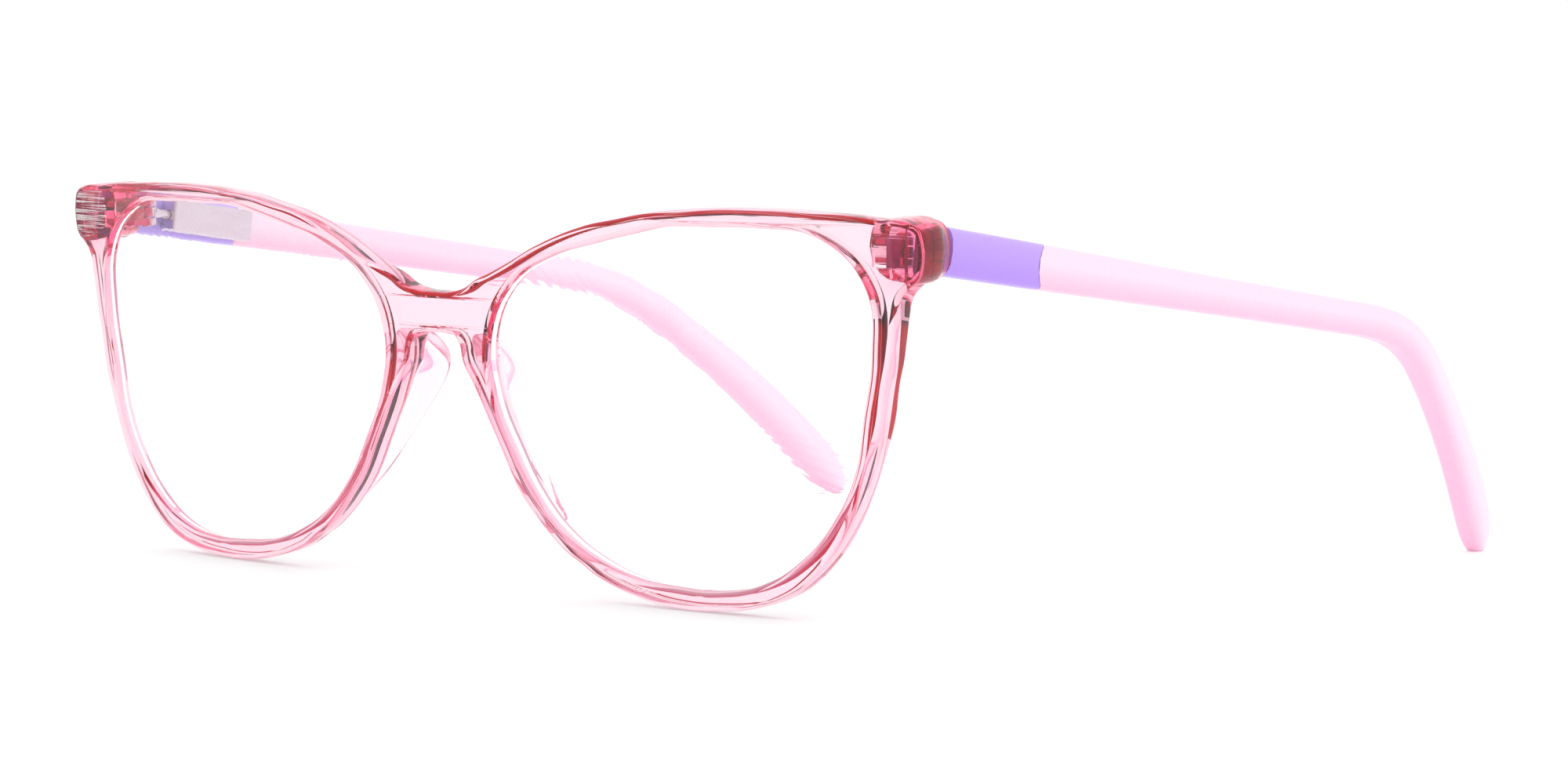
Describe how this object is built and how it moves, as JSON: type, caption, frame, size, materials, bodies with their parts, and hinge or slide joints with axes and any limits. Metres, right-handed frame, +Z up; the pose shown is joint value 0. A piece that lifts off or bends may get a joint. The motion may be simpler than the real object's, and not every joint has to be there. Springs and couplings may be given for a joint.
{
  "type": "blue light glasses",
  "caption": "Full-rim cat-eye glasses in clear pink acetate with lilac and pale pink temples on sprung hinges.",
  "frame": {"origin": "middle of the footprint, on the flat surface that the rims and ear tips stand on", "axes": "+Z up, -Y the way the wearer looks, +X the wearer's left, with the temples open"},
  "size_m": [0.133, 0.1506, 0.0455],
  "materials": {
    "clear_pink_acetate": "clear, tinted, polished",
    "blue_light_lens": "clear, coated",
    "lilac_acetate": "satin, solid colour",
    "pale_pink_acetate": "satin, milky",
    "hinge_steel": "satin"
  },
  "bodies": {
    "front": {"front_frame": "clear_pink_acetate", "lens_left": "blue_light_lens", "lens_right": "blue_light_lens", "nose_pad_left": "clear_pink_acetate", "nose_pad_right": "clear_pink_acetate", "front_hinge_left": "hinge_steel", "front_hinge_right": "hinge_steel", "hinge_screw_left": "hinge_steel", "hinge_screw_right": "hinge_steel"},
    "slider_left": {"spring_slider_left": "hinge_steel", "slider_nut_left": "hinge_steel"},
    "temple_left": {"temple_front_left": "lilac_acetate", "temple_rear_left": "pale_pink_acetate", "spring_housing_left": "hinge_steel", "hinge_spring_left": "hinge_steel", "core_wire_left": "hinge_steel"},
    "slider_right": {"spring_slider_right": "hinge_steel", "slider_nut_right": "hinge_steel"},
    "temple_right": {"temple_front_right": "lilac_acetate", "temple_rear_right": "pale_pink_acetate", "spring_housing_right": "hinge_steel", "hinge_spring_right": "hinge_steel", "core_wire_right": "hinge_steel"}
  },
  "joints": [
    {"name": "fold_left", "type": "hinge", "parent": "front", "child": "slider_left", "pos_m": [0.0597, -0.0624, 0.0414], "axis": [0, 0, 1], "range_deg": [0, 90]},
    {"name": "spring_travel_left", "type": "slide", "parent": "slider_left", "child": "temple_left", "axis": [0.0209, 0.9944, -0.1036], "range_m": [0, 0.001], "stiffness_N_per_m": 500, "springref_m": -0.005, "deforming": ["hinge_spring_left"]},
    {"name": "fold_right", "type": "hinge", "parent": "front", "child": "slider_right", "pos_m": [-0.0597, -0.0624, 0.0414], "axis": [0, 0, -1], "range_deg": [0, 84]},
    {"name": "spring_travel_right", "type": "slide", "parent": "slider_right", "child": "temple_right", "axis": [-0.0209, 0.9944, -0.1036], "range_m": [0, 0.001], "stiffness_N_per_m": 500, "springref_m": -0.005, "deforming": ["hinge_spring_right"]}
  ]
}
